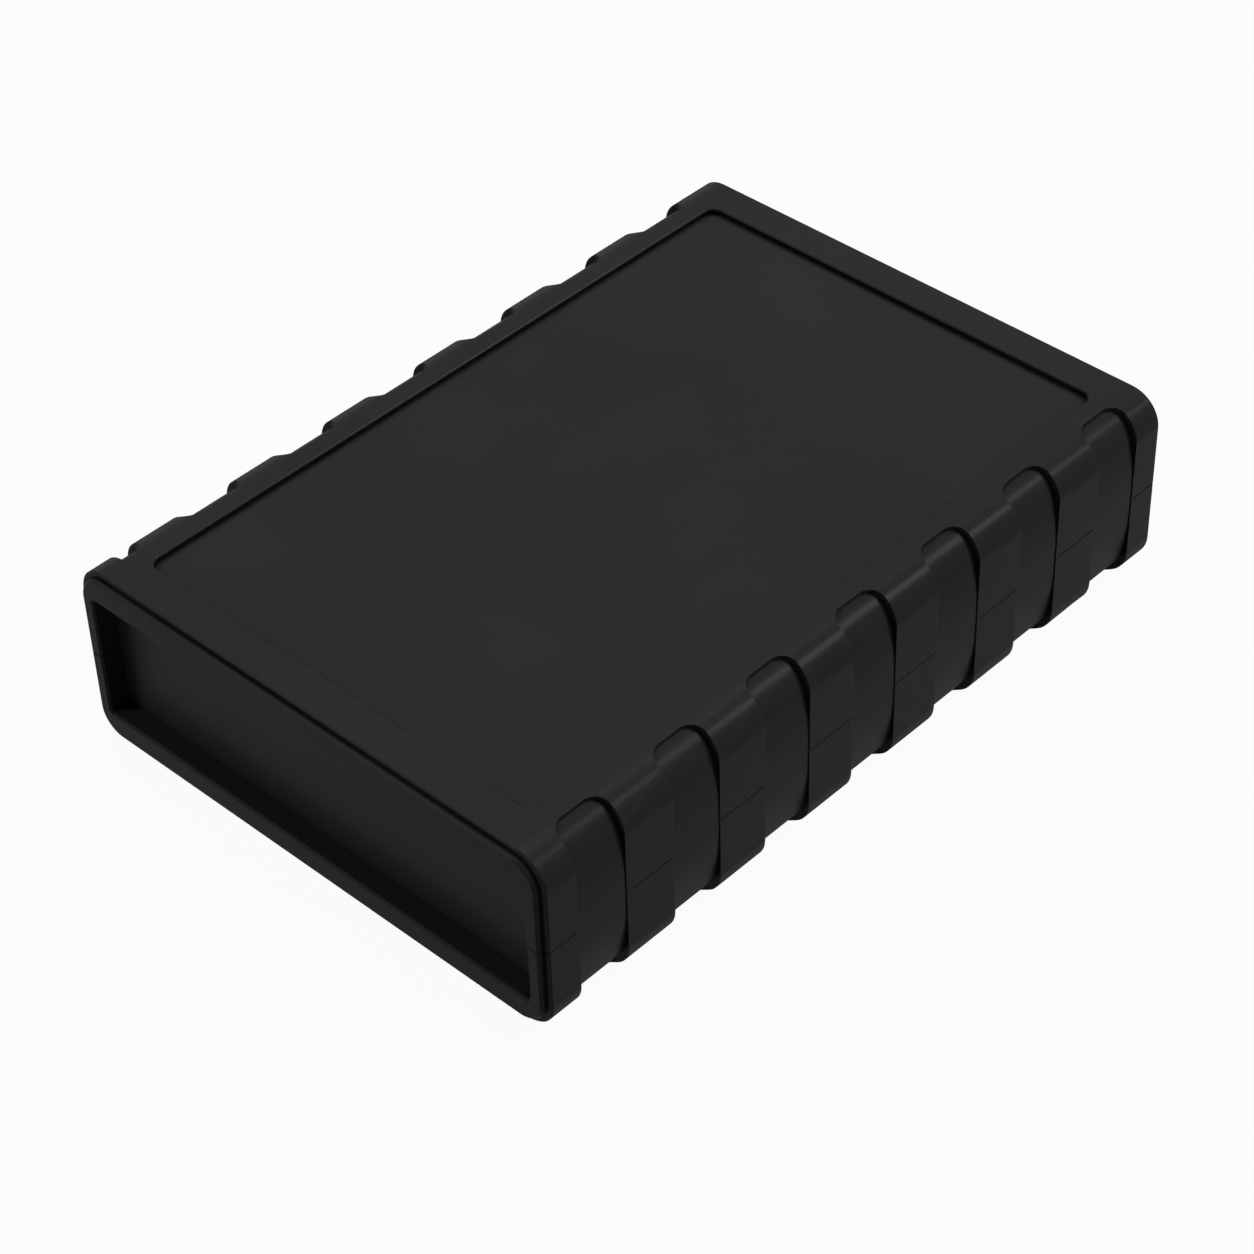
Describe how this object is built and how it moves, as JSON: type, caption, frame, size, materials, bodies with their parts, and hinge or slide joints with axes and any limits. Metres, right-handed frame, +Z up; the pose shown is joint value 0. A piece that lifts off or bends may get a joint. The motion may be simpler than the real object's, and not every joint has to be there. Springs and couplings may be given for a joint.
{
  "type": "injection moulded instrument case",
  "caption": "Two-part black plastic instrument case with ribbed sides, a stepped rim and a recessed slide-in panel at each end, and a shallow label recess in the top.",
  "frame": {"origin": "centre of the underside, on the surface that the case stands on", "axes": "+Z up, Y along the case's length with the front panel at -Y, X across the ribbed sides"},
  "size_m": [0.14, 0.202, 0.048],
  "materials": {
    "case_plastic": "fine moulded texture",
    "panel_plastic": "fine matte",
    "screw_steel": "zinc plated"
  },
  "bodies": {
    "root": {"bottom_base": "case_plastic", "top_cover": "case_plastic", "front_panel": "panel_plastic", "rear_panel": "panel_plastic", "case_screw_1": "screw_steel", "case_screw_2": "screw_steel", "case_screw_3": "screw_steel", "case_screw_4": "screw_steel"}
  },
  "joints": []
}
